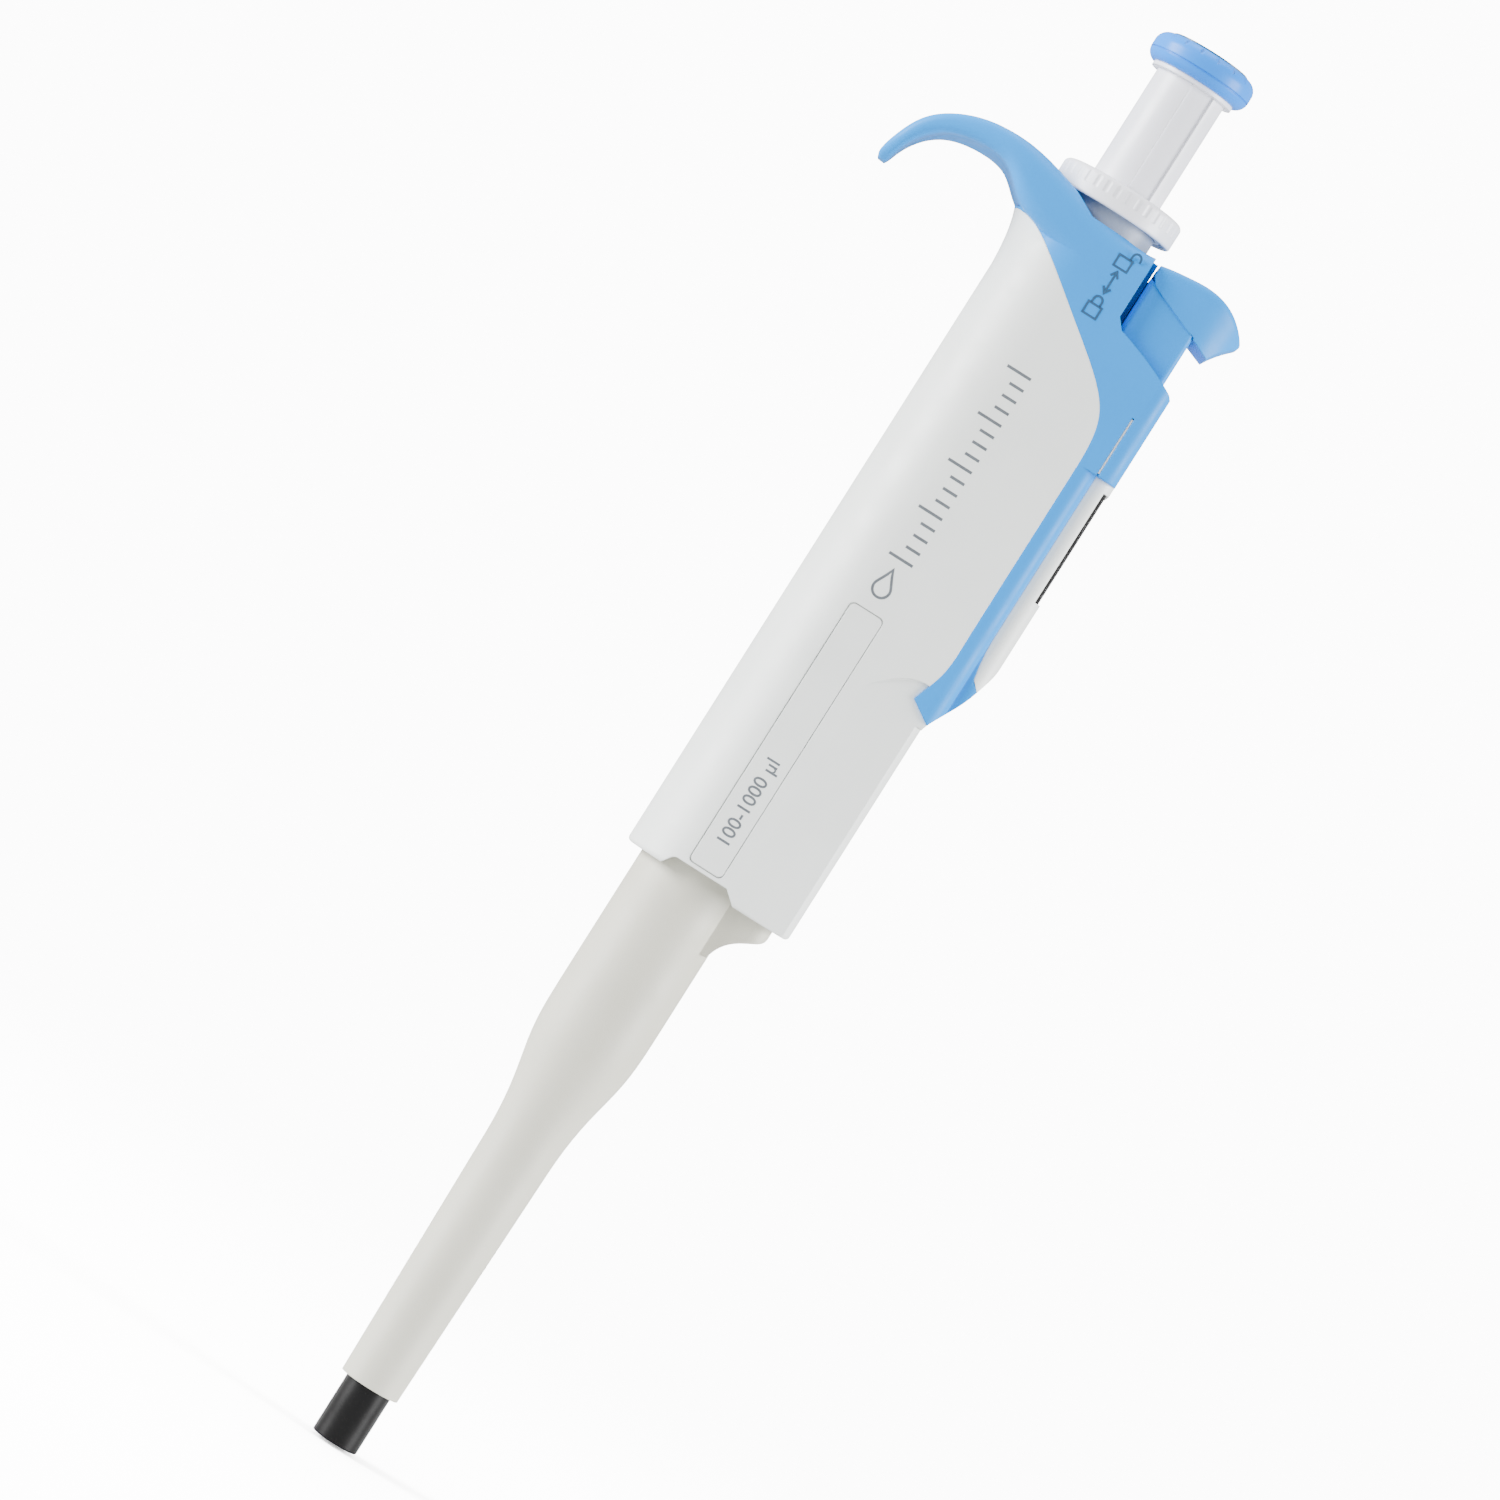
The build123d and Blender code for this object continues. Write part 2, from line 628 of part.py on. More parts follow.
def ejector_button():
    """Thumb button of the ejector: a wedge with a scooped top and a drooping front lip."""
    back = 10.1
    top = Spline(
        (back, 209.3),
        (14.0, 209.95),
        (18.5, 210.2),
        (22.4, 209.2),
        (26.1, 206.2),
        tangents=((1, 0.25), (0.8, -1)),
    )
    lip = ThreePointArc((26.1, 206.2), (26.2, 205.6), (25.9, 205.1))
    throat = Spline((25.9, 205.1), (24.4, 203.6), (22.9, 201.35))
    under = Polyline(
        (22.9, 201.35),
        (19.9, 202.6),
        (12.0, 205.85),
        (10.9, 206.4),
        (back, 207.5),
        (back, 209.3),
    )
    half_width = 9.3
    button = side_slab([top, lip, throat, under], half_width)
    plan_centre = 17.3
    plan = [
        Line((9.0, -half_width), (plan_centre, -half_width)),
        ThreePointArc((plan_centre, -half_width), (plan_centre + half_width, 0), (plan_centre, half_width)),
        Line((plan_centre, half_width), (9.0, half_width)),
        Line((9.0, half_width), (9.0, -half_width)),
    ]
    button &= Pos(0, 0, 195) * extrude(make_face(plan), amount=20)
    button = fillet([edge for edge in button.edges() if is_button_rim(edge)], BUTTON_EDGE)
    scoop_r = 30.0
    scoop_bottom = 209.3
    button -= Pos(17.5, 0, scoop_bottom + scoop_r) * Rot(90, 0, 0) * Sphere(scoop_r)
    return single(button - stem_form(STEM_BOTTOM))


def is_button_rim(edge):
    """True for the edges where the button's top meets its side walls."""
    middle = edge @ 0.5
    return middle.Z > 206.5 and abs(middle.Y) > 5.0 and middle.X > 11.0


# --- Outer shells --------------------------------------------------------------------------------
def body_silhouette():
    """Side view of the grip, the counter housing and the head box as one outline."""
    return [
        Line((-20.0, GRIP_BOTTOM), (-20.0, TRUNK_TOP)),
        Line((-20.0, TRUNK_TOP), (HEAD_FRONT, TRUNK_TOP)),
        Line((HEAD_FRONT, TRUNK_TOP), (HEAD_FRONT, 199.7)),
        Line((HEAD_FRONT, 199.7), (10.3, 198.1)),
        Spline((10.3, 198.1), (15.5, 196.4), (FACE_FRONT - 0.6, 193.9)),
        Line((FACE_FRONT - 0.6, 193.9), (FACE_FRONT, BOX_TOP)),
        Line((FACE_FRONT, BOX_TOP), (FACE_FRONT, 147.5)),
        Spline((FACE_FRONT, 147.5), (21.0, 143.6), (20.1, 140.8), (17.1, CHIN_BOTTOM), (GRIP_FRONT, 132.5),
               tangents=((0, -1), (0, -1))),
        Line((GRIP_FRONT, 132.5), (GRIP_FRONT, GRIP_BOTTOM)),
        Line((GRIP_FRONT, GRIP_BOTTOM), (-20.0, GRIP_BOTTOM)),
    ]


def seam_outline():
    """Side view of everything that belongs to the coloured head moulding."""
    back = (-12.2, 205.7)
    return [
        Spline(
            back,
            (-5.0, 202.4),
            (4.0, 195.5),
            (12.3, 188.6),
            (15.3, 178.0),
            tangents=((1, -0.1), (0, -1)),
        ),
        Line((15.3, 178.0), (15.3, 150.0)),
        Spline((15.3, 150.0), (14.9, 141.5), (13.4, 137.0), tangents=((0, -1), (-0.3, -1))),
        Line((13.4, 137.0), (17.0, CHIN_BOTTOM)),
        Line((17.0, CHIN_BOTTOM), (30.0, CHIN_BOTTOM)),
        Line((30.0, CHIN_BOTTOM), (30.0, 225.0)),
        Line((30.0, 225.0), (-45.0, 225.0)),
        Line((-45.0, 225.0), (-45.0, 190.0)),
        Line((-45.0, 190.0), (-25.0, 190.0)),
        Line((-25.0, 190.0), back),
    ]


def flared_back():
    """Swelling of the grip's round back that leads into the finger hook."""
    half_width = GRIP_HALF_WIDTH - 0.35
    sections = []
    for height, reach in ((193.0, half_width), (198.5, 11.05), (202.5, 11.55), (TRUNK_TOP + 0.4, 12.75)):
        arc = EllipticalCenterArc((0, 0), reach, half_width, start_angle=90, arc_size=180)
        face = make_face([arc, Line(arc @ 0, arc @ 1)])
        sections.append(Pos(0, 0, height) * face)
    return loft(sections)


def hook_strap():
    """Strap that forms the top of the head and curves over and down behind it as the finger hook."""
    proud = GRIP_HALF_WIDTH + 0.02
    stations = (
        (HEAD_FRONT, HEAD_DECK, HEAD_FRONT, 200.0, proud, 3.0),
        (4.5, HEAD_DECK, 4.5, 200.2, proud, 3.0),
        (0.5, 210.4, 0.3, 201.2, proud, 3.0),
        (-4.0, 211.45, -4.3, 203.2, proud, 3.0),
        (-9.0, 212.95, -9.4, 204.9, 10.85, 3.1),
        (-13.5, 214.0, -13.3, 207.1, 10.5, 2.8),
        (-17.5, 214.3, -16.6, 209.75, 9.9, 2.0),
        (-21.5, 214.0, -20.8, 210.45, 9.1, 1.6),
        (-26.0, 212.65, -24.8, 209.85, 8.2, 1.3),
        (-30.3, 209.65, -28.6, 207.65, 7.1, 1.15),
        (-32.6, 205.6, -31.0, 204.1, 5.7, 1.0),
        (-33.55, 202.4, -31.7, 202.0, 3.9, 0.85),
        (-33.25, 201.25, -32.1, 201.15, 2.6, 0.5),
    )
    sections = []
    for outer_x, outer_z, inner_x, inner_z, half_width, corner in stations:
        upward = Vector(outer_x - inner_x, 0, outer_z - inner_z)
        middle = Vector(outer_x + inner_x, 0, outer_z + inner_z) / 2
        plane = Plane(origin=middle, x_dir=(0, 1, 0), z_dir=(upward.Z, 0, -upward.X))
        sections.append(plane * RectangleRounded(2 * half_width, upward.length, corner))
    return loft(sections)


def raised_front(inset, low):
    """Raised block of the display bezel on the counter housing."""
    return d_section(BEZEL_HALF_WIDTH - inset, FACE_FRONT - inset, 2.4 - 0.6 * inset, low, BOX_BOTTOM)


def outer_body():
    """Solid outer form of the handle below the head: slim grip, counter housing and raised front."""
    edge = 2.6
    slim = d_section(GRIP_HALF_WIDTH, GRIP_FRONT, edge, GRIP_BOTTOM, CHIN_BOTTOM + 4)
    slim = fillet(slim.edges().group_by(Axis.Z)[0], 0.7)
    housing = d_section(GRIP_HALF_WIDTH, STRIP_FRONT, edge, CHIN_BOTTOM - 1, BOX_BOTTOM)
    head_box = d_section(GRIP_HALF_WIDTH, FACE_FRONT, edge, BOX_BOTTOM, TRUNK_TOP)
    solid = slim + housing + head_box + raised_front(0.0, CHIN_BOTTOM - 1) + flared_back()
    return solid & side_slab(body_silhouette(), 20)


def side_grooves():
    """Short grooves that continue the bezel's edge line up the sides of the head box."""
    grooves = Part()
    for side in (-1, 1):
        inner, outer = sorted((side * (GRIP_HALF_WIDTH - 0.4), side * (GRIP_HALF_WIDTH + 1)))
        grooves += block(STRIP_FRONT - 0.15, STRIP_FRONT + 0.2, inner, outer, BOX_BOTTOM - 1, 188.2)
    return grooves


def guide_rib():
    """Rib on the front of the head that fills the gap behind the ejector stem."""
    return block(HEAD_FRONT - 0.5, STEM_BACK - 0.1, -6.0, 6.0, 193.0, HEAD_DECK - 0.5)


def inner_room():
    """Space inside the handle, one wall thickness in from the outer form."""
    half = GRIP_HALF_WIDTH - WALL
    grip = d_section(half, GRIP_FRONT - WALL, 1.6, GRIP_BOTTOM - 1, CHIN_BOTTOM + 3)
    housing = d_section(half, STRIP_FRONT - WALL, 1.6, CHIN_BOTTOM + 2, 206.5)
    room = grip + housing
    room -= block(HEAD_FRONT - 1.0, 30.0, -20.0, 20.0, 191.0, 220.0)
    return room


def floor_plate():
    """Floor of the grip that the liquid end and the ejector bar pass through."""
    plate = d_section(GRIP_HALF_WIDTH - 0.5, GRIP_FRONT - 0.5, 2.0, 102.0, 104.0)
    return plate - rod(7.15, 100, 106) - rod(EJECTOR_ROD_R + 0.35, 100, 106, ROD_X)


def rim_notch():
    """Shallow arch in both side walls of the grip's lower rim."""
    outline = [
        Line((-5.0, 95.0), (-5.0, GRIP_BOTTOM)),
        Line((-5.0, GRIP_BOTTOM), (-3.9, 98.9)),
        Line((-3.9, 98.9), (-3.4, 99.2)),
        Line((-3.4, 99.2), (5.2, 99.2)),
        Line((5.2, 99.2), (7.3, GRIP_BOTTOM)),
        Line((7.3, GRIP_BOTTOM), (7.3, 95.0)),
        Line((7.3, 95.0), (-5.0, 95.0)),
    ]
    return side_slab(outline, 20)


def label_space(gap):
    """Room for the label plate in one side wall, or the plate itself with no gap."""
    x_low, x_high, z_low, z_high = -1.7, 3.7, 99.9, 144.1
    outside = -GRIP_HALF_WIDTH - 0.5
    plate = block(x_low - gap, x_high + gap, outside, outside + 1.0, z_low - gap, z_high + gap)
    return fillet(plate.edges().filter_by(Axis.Y), 0.8)


def label_plate():
    """Thin plate with the volume range, let into the side of the grip."""
    plate = label_space(0.0)
    return plate & block(-5, 8, -GRIP_HALF_WIDTH - 0.02, -GRIP_HALF_WIDTH + 0.5, 95, 150)


def stem_pocket():
    """Well in the head that the ejector stem slides in."""
    low = STEM_BOTTOM - EJECTOR_TRAVEL - 0.5
    half = STEM_HALF_WIDTH + 0.35
    return block(HEAD_FRONT + 0.2, STEM_FRONT + 0.5, -half, half, low, 215.0)


def counter_window():
    """Opening behind the bezel that the number wheels look through."""
    return block(15.0, 20.4, -7.0, 7.0, 143.5, 192.0)


def bezel_region(gap):
    """Space of the display bezel: rounded lower corners in front view, a curved lower end in side view."""
    half = BEZEL_HALF_WIDTH + gap
    corner = 2.6
    bottom = BEZEL_BOTTOM - gap
    side = [
        Line((STRIP_FRONT, BOX_BOTTOM), (STRIP_FRONT, 151.0)),
        Spline((STRIP_FRONT, 151.0), (19.0, 145.5), (20.2, bottom), tangents=((0, -1), (0.5, -1))),
        Line((20.2, bottom), (30.0, bottom)),
        Line((30.0, bottom), (30.0, BOX_BOTTOM)),
        Line((30.0, BOX_BOTTOM), (STRIP_FRONT, BOX_BOTTOM)),
    ]
    front = [
        Line((-half, BOX_BOTTOM), (half, BOX_BOTTOM)),
        Line((half, BOX_BOTTOM), (half, bottom + corner)),
        JernArc((half, bottom + corner), (0, -1), corner, -90),
        Line((half - corner, bottom), (corner - half, bottom)),
        JernArc((corner - half, bottom), (-1, 0), corner, -90),
        Line((-half, bottom + corner), (-half, BOX_BOTTOM)),
    ]
    return side_slab(side, 20) & extrude(Plane.YZ * make_face(front), amount=40)


def finger_relief():
    """Wedges that narrow the lower grip towards the front, ending in a curved ledge below the housing."""
    start = (6.4, 134.2)
    ledge = (13.6, 139.7)
    side = [
        Line((start[0], GRIP_BOTTOM - 2), start),
        Spline(start, (7.8, 136.4), (10.2, 138.4), ledge, tangents=((0.1, 1), (1, 0.15))),
        Line(ledge, (20.0, ledge[1])),
        Line((20.0, ledge[1]), (20.0, GRIP_BOTTOM - 2)),
        Line((20.0, GRIP_BOTTOM - 2), (start[0], GRIP_BOTTOM - 2)),
    ]
    inner = GRIP_HALF_WIDTH - RELIEF_DEPTH
    outer = GRIP_HALF_WIDTH + 1.0
    plan = Polyline(
        (start[0], GRIP_HALF_WIDTH),
        (GRIP_FRONT, inner),
        (20.0, inner),
        (20.0, outer),
        (start[0], outer),
        close=True,
    )
    wedge = extrude(make_face(plan), amount=200)
    return side_slab(side, 20) & (wedge + mirror(wedge, about=Plane.XZ))


def grip_shell():
    """White handle shell with its floor, below and behind the seam."""
    shell = outer_body() - side_slab(seam_outline(), 20)
    shell -= inner_room()
    shell = single(shell) + floor_plate()
    shell -= rim_notch()
    shell -= finger_relief()
    return single(shell - label_space(0.12))


def head_cover():
    """Coloured head with finger hook, ejector well, lock ring pocket and the counter's side rails."""
    cover = (outer_body() + hook_strap()) & side_slab(seam_outline(), 20)
    cover -= inner_room()
    cover -= stem_pocket()
    cover -= counter_window()
    cover -= bezel_region(0.0)
    cover -= rod(RING_R + 0.5, HEAD_DECK, 225.0)
    cover -= rod(NECK_R + 0.05, 190.0, 225.0)
    cover -= side_grooves()
    return single(cover + guide_rib())


def window_recess():
    """Shallow recess across the bezel's face for the mask and the lens."""
    return block(WINDOW_BACK, 30.0, -20.0, 20.0, WINDOW_LOW, WINDOW_HIGH)


def display_bezel():
    """White raised frame over the counter, hollow behind, with an opening for the digits."""
    bezel = outer_body() & bezel_region(0.0)
    bezel -= counter_window()
    bezel -= block(15.0, 30.0, -3.4, 3.4, 158.9, 176.2)
    bezel -= window_recess()
    return single(bezel)


def display_mask():
    """Dark panel behind the window with one opening per digit."""
    mask = raised_front(MASK_INSET, 140.0) & window_recess()
    for index in range(WHEEL_COUNT):
        middle = WHEEL_Z + RING_GEAR_HEIGHT + RIM_HEIGHT / 2 + index * WHEEL_PITCH
        mask -= block(15.0, 30.0, -2.7, 2.7, middle - 1.75, middle + 1.75)
    return single(mask)


def window_lens():
    """Clear cover of the window, wrapped round the bezel's front."""
    lens = raised_front(LENS_INSET, 140.0) - raised_front(MASK_INSET, 139.0)
    return single(lens & window_recess())


# --- Writing the parts ---------------------------------------------------------------------------
def all_parts():
    """Every piece by its node name."""
    parts = {
        "tip_cone": tip_cone(),
        "piston_seal": piston_seal(),
        "seal_o_ring": seal_o_ring(),
        "seal_retainer": seal_retainer(),
        "nozzle_nut": nozzle_nut(),
        "piston_spring": piston_spring(),
        "piston": piston(),
        "piston_head": piston_head(),
        "blowout_spring": blowout_spring(),
        "blowout_ring": blowout_ring(),
        "chassis_tube": chassis_tube(),
        "stop_nut": stop_nut(),
        "drive_tube": drive_tube(),
        "dial_gear": dial_gear(),
        "push_rod": push_rod(),
        "plunger_sleeve": plunger_sleeve(),
        "button_cap": button_cap(),
        "cap_insert": cap_insert(),
        "neck_collar": neck_collar(),
        "calibration_ring": calibration_ring(),
        "lock_ring": lock_ring(),
        "counter_frame": counter_frame(),
        "counter_screws": counter_screws(),
        "counter_shaft": counter_shaft(),
        "counter_gear": counter_gear(),
        "transfer_shaft": transfer_shaft(),
        "ejector_sleeve": ejector_sleeve(),
        "ejector_bar": ejector_bar(),
        "ejector_spring": ejector_spring(),
        "ejector_stem": ejector_stem(),
        "ejector_button": ejector_button(),
        "grip_shell": grip_shell(),
        "label_plate": label_plate(),
        "head_cover": head_cover(),
        "display_bezel": display_bezel(),
        "display_mask": display_mask(),
        "window_lens": window_lens(),
    }
    for index in range(WHEEL_COUNT):
        parts[f"number_wheel_{index + 1}"] = number_wheel(index)
    for index in range(WHEEL_COUNT - 1):
        parts[f"transfer_pinion_{index + 1}"] = transfer_pinion(index)
    return parts


os.makedirs("parts", exist_ok=True)
for name, shape in all_parts().items():
    export_step(shape, f"parts/{name}.step")
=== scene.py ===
import json
import math

import bmesh
import bpy
from mathutils import Matrix, Vector


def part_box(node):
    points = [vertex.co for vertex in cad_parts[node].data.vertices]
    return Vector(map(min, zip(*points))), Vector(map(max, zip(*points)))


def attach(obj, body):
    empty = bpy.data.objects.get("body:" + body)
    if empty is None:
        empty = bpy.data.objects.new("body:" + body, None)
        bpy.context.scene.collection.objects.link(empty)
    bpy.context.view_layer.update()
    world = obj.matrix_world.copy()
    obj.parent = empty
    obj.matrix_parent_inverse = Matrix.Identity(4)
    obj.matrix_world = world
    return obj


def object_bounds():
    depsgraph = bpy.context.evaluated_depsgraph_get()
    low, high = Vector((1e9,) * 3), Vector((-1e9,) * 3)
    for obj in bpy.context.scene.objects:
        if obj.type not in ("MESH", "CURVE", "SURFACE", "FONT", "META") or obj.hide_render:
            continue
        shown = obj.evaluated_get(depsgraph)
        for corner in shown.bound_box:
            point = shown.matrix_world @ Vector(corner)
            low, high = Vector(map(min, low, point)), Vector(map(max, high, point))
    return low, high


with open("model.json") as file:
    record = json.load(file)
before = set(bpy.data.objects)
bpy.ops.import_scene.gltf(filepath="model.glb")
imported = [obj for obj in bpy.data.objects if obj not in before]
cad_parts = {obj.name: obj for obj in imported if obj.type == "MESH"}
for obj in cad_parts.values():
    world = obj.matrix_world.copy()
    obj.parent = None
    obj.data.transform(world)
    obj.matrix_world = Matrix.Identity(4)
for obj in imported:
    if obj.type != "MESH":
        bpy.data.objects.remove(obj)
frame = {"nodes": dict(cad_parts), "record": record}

cad_low, cad_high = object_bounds()
nodes = frame["nodes"]
MM = 0.001
FLOOR_GAIN = 5.0            # brightness of the floor as the camera sees it
BACKDROP = 12.0             # strength of the surroundings as the camera sees them
ROOM_LIGHT = 0.75           # strength of the surroundings as the object sees them
GLOSS_SPREAD = 0.06         # how far the roughness of a moulded plastic drifts each way
EDGE_RADIUS = 0.3           # rounding of the mouldings' sharp edges, millimetres


# --- Node helpers --------------------------------------------------------------------------------
def new_material(name):
    """Empty node material with its output and a principled shader."""
    material = bpy.data.materials.new(name)
    material.use_nodes = True
    tree = material.node_tree
    tree.nodes.clear()
    output = tree.nodes.new("ShaderNodeOutputMaterial")
    shader = tree.nodes.new("ShaderNodeBsdfPrincipled")
    tree.links.new(shader.outputs["BSDF"], output.inputs["Surface"])
    return material, tree, shader


def node(tree, kind, **values):
    """Node of a kind, with its named inputs set."""
    made = tree.nodes.new(kind)
    for key, value in values.items():
        made.inputs[key.replace("_", " ")].default_value = value
    return made


def object_point(tree):
    """Object coordinates, which are the row frame in metres."""
    return tree.nodes.new("ShaderNodeTexCoord").outputs["Object"]


def noise(tree, scale, detail=3.0, rough=0.5, stretch=None):
    """Noise value in object space; stretch scales the axes first."""
    texture = node(tree, "ShaderNodeTexNoise", Scale=scale, Detail=detail, Roughness=rough)
    point = object_point(tree)
    if stretch:
        mapping = tree.nodes.new("ShaderNodeMapping")
        mapping.inputs["Scale"].default_value = stretch
        tree.links.new(point, mapping.inputs["Vector"])
        point = mapping.outputs["Vector"]
    tree.links.new(point, texture.inputs["Vector"])
    return texture.outputs["Fac"]


def ramp(tree, value, low, high, start=0.35, stop=0.65):
    """Value or colour ramp between two ends; a number stands for a grey."""
    made = tree.nodes.new("ShaderNodeValToRGB")
    for element, position, end in zip(made.color_ramp.elements, (start, stop), (low, high)):
        element.position = position
        element.color = (*end, 1.0) if isinstance(end, (tuple, list)) else (end, end, end, 1.0)
    tree.links.new(value, made.inputs["Fac"])
    return made.outputs["Color"]


def soft_edges(tree, radius):
    """Normal that rounds the object's sharp edges, like the small radii of a moulding."""
    made = node(tree, "ShaderNodeBevel", Radius=radius)
    made.samples = 6
    return made


def bump(tree, shader, height, distance, strength=1.0, under=None):
    """Bump from a height, on top of an earlier normal if given."""
    made = node(tree, "ShaderNodeBump", Strength=strength, Distance=distance)
    tree.links.new(height, made.inputs["Height"])
    if under:
        tree.links.new(under.outputs["Normal"], made.inputs["Normal"])
    tree.links.new(made.outputs["Normal"], shader.inputs["Normal"])
    return made


def shade(colour, factor):
    """The colour with every channel scaled."""
    return tuple(min(1.0, channel * factor) for channel in colour)


def moulded_plastic(name, colour, rough, grain=0.012, gloss=0.5):
    """Injection-moulded plastic: faint colour drift, uneven gloss, a fine grain and soft edges."""
    material, tree, shader = new_material(name)
    drift = ramp(tree, noise(tree, 55.0, 2.0), shade(colour, 0.965), shade(colour, 1.02))
    tree.links.new(drift, shader.inputs["Base Color"])
    polish = ramp(tree, noise(tree, 240.0, 4.0), rough - GLOSS_SPREAD, rough + GLOSS_SPREAD)
    tree.links.new(polish, shader.inputs["Roughness"])
    rounding = soft_edges(tree, EDGE_RADIUS * MM)
    grain_bump = bump(tree, shader, noise(tree, 5200.0, 2.0), grain * MM, 0.5, rounding)
    bump(tree, shader, noise(tree, 130.0, 1.0), 0.02 * MM, 0.25, grain_bump)
    shader.inputs["IOR"].default_value = 1.48
    shader.inputs["Specular IOR Level"].default_value = gloss
    return material


def turned_metal(name, colour, rough):
    """Ground or drawn metal with fine rings round the pipette's axis."""
    material, tree, shader = new_material(name)
    rings = noise(tree, 900.0, 4.0, 0.6, (0.08, 0.08, 4.0))
    tree.links.new(ramp(tree, rings, shade(colour, 0.85), colour), shader.inputs["Base Color"])
    tree.links.new(ramp(tree, rings, rough - 0.07, rough + 0.1), shader.inputs["Roughness"])
    bump(tree, shader, rings, 0.01 * MM, 0.4)
    shader.inputs["Metallic"].default_value = 1.0
    return material


def soft_rubber(name, colour):
    """Dull seal rubber."""
    material, tree, shader = new_material(name)
    mottle = ramp(tree, noise(tree, 400.0, 5.0), shade(colour, 0.7), shade(colour, 1.4))
    tree.links.new(mottle, shader.inputs["Base Color"])
    tree.links.new(ramp(tree, noise(tree, 300.0, 3.0), 0.6, 0.8), shader.inputs["Roughness"])
    bump(tree, shader, noise(tree, 3000.0, 3.0), 0.02 * MM, 0.5)
    return material


def printed_ink(name, colour):
    """Pad-printed ink, slightly uneven."""
    material, tree, shader = new_material(name)
    density = ramp(tree, noise(tree, 1500.0, 4.0), shade(colour, 0.9), shade(colour, 1.08))
    tree.links.new(density, shader.inputs["Base Color"])
    tree.links.new(ramp(tree, noise(tree, 900.0, 3.0), 0.42, 0.55), shader.inputs["Roughness"])
    bump(tree, shader, noise(tree, 4000.0, 2.0), 0.006 * MM, 0.4)
    return material


def window_plastic(name):
    """Smoked clear cover: the front face lets light through, the narrow edges are blacked out."""
    material, tree, shader = new_material(name)
    tint = ramp(tree, noise(tree, 90.0, 2.0), (0.62, 0.64, 0.66), (0.68, 0.70, 0.72))
    polish = ramp(tree, noise(tree, 300.0, 3.0), 0.02, 0.07)
    facing = tree.nodes.new("ShaderNodeSeparateXYZ")
    tree.links.new(tree.nodes.new("ShaderNodeTexCoord").outputs["Normal"], facing.inputs[0])
    across = tree.nodes.new("ShaderNodeMath")
    across.operation = "ABSOLUTE"
    tree.links.new(facing.outputs["X"], across.inputs[0])
    clear = ramp(tree, across.outputs[0], 0.0, 1.0, 0.55, 0.6)
    blend = tree.nodes.new("ShaderNodeMix")
    blend.data_type = "RGBA"
    dark = ramp(tree, noise(tree, 200.0, 2.0), (0.012, 0.012, 0.014), (0.018, 0.018, 0.02))
    sockets = {socket.identifier: socket for socket in blend.inputs}
    results = {socket.identifier: socket for socket in blend.outputs}
    tree.links.new(clear, sockets["Factor_Float"])
    tree.links.new(dark, sockets["A_Color"])
    tree.links.new(tint, sockets["B_Color"])
    tree.links.new(results["Result_Color"], shader.inputs["Base Color"])
    tree.links.new(polish, shader.inputs["Roughness"])
    bump(tree, shader, noise(tree, 160.0, 2.0), 0.01 * MM, 0.2)
    shader.inputs["IOR"].default_value = 1.49
    tree.links.new(clear, shader.inputs["Transmission Weight"])
    return material


# --- Materials -----------------------------------------------------------------------------------
shell_white = moulded_plastic("shell_white", (0.80, 0.83, 0.81), 0.42, grain=0.02)
head_blue = moulded_plastic("head_blue", (0.0005, 0.25, 0.72), 0.40, grain=0.016, gloss=0.14)
cap_blue = moulded_plastic("cap_blue", (0.0005, 0.225, 0.84), 0.34, grain=0.01, gloss=0.2)
cap_teal = moulded_plastic("cap_teal", (0.002, 0.085, 0.17), 0.32, grain=0.008, gloss=0.3)
ring_white = moulded_plastic("ring_white", (0.86, 0.87, 0.93), 0.34, grain=0.01)
# Painted shade: the neck's base colour is set dark and bluish, like its shaded look under the lock
# ring.
neck_grey = moulded_plastic("neck_grey", (0.27, 0.315, 0.40), 0.40)
sleeve_grey = moulded_plastic("sleeve_grey", (0.565, 0.555, 0.475), 0.50, grain=0.024)
nose_black = moulded_plastic("nose_black", (0.0015, 0.0013, 0.0015), 0.34, grain=0.006, gloss=0.2)
label_white = moulded_plastic("label_white", (0.79, 0.82, 0.80), 0.46, grain=0.01)
wheel_black = moulded_plastic("wheel_black", (0.012, 0.012, 0.014), 0.45)
frame_plastic = moulded_plastic("frame_plastic", (0.62, 0.64, 0.63), 0.40)
seal_ptfe = moulded_plastic("seal_ptfe", (0.86, 0.86, 0.84), 0.55)
steel = turned_metal("steel", (0.62, 0.62, 0.63), 0.24)
spring_steel = turned_metal("spring_steel", (0.5, 0.5, 0.51), 0.3)
brass = turned_metal("brass", (0.75, 0.58, 0.28), 0.28)
seal_rubber = soft_rubber("seal_rubber", (0.02, 0.02, 0.021))
window_clear = window_plastic("window_clear")
print_grey = printed_ink("print_grey", (0.11, 0.125, 0.14))
icon_blue = printed_ink("icon_blue", (0.012, 0.065, 0.15))
digit_white = printed_ink("digit_white", (0.85, 0.85, 0.83))

SLOT_MATERIALS = {
    "white_shell": shell_white,
    "head_blue": head_blue,
    "cap_blue": cap_blue,
    "cap_teal": cap_teal,
    "ring_white": ring_white,
    "neck_grey": neck_grey,
    "sleeve_grey": sleeve_grey,
    "nose_black": nose_black,
    "label_white": label_white,
    "window_clear": window_clear,
    "wheel_black": wheel_black,
    "mechanism_plastic": frame_plastic,
    "steel": steel,
    "spring_steel": spring_steel,
    "seal_rubber": seal_rubber,
    "seal_ptfe": seal_ptfe,
    "brass": brass,
}


def dress_frame():
    """Gives every CAD node the material of its slot and smooth shading on all its faces."""
    for part in frame["record"]["subparts"]:
        item = nodes[part["node"]]
        item.data.materials.clear()
        item.data.materials.append(SLOT_MATERIALS[part["material_slot"]])
        for polygon in item.data.polygons:
            polygon.use_smooth = True


dress_frame()


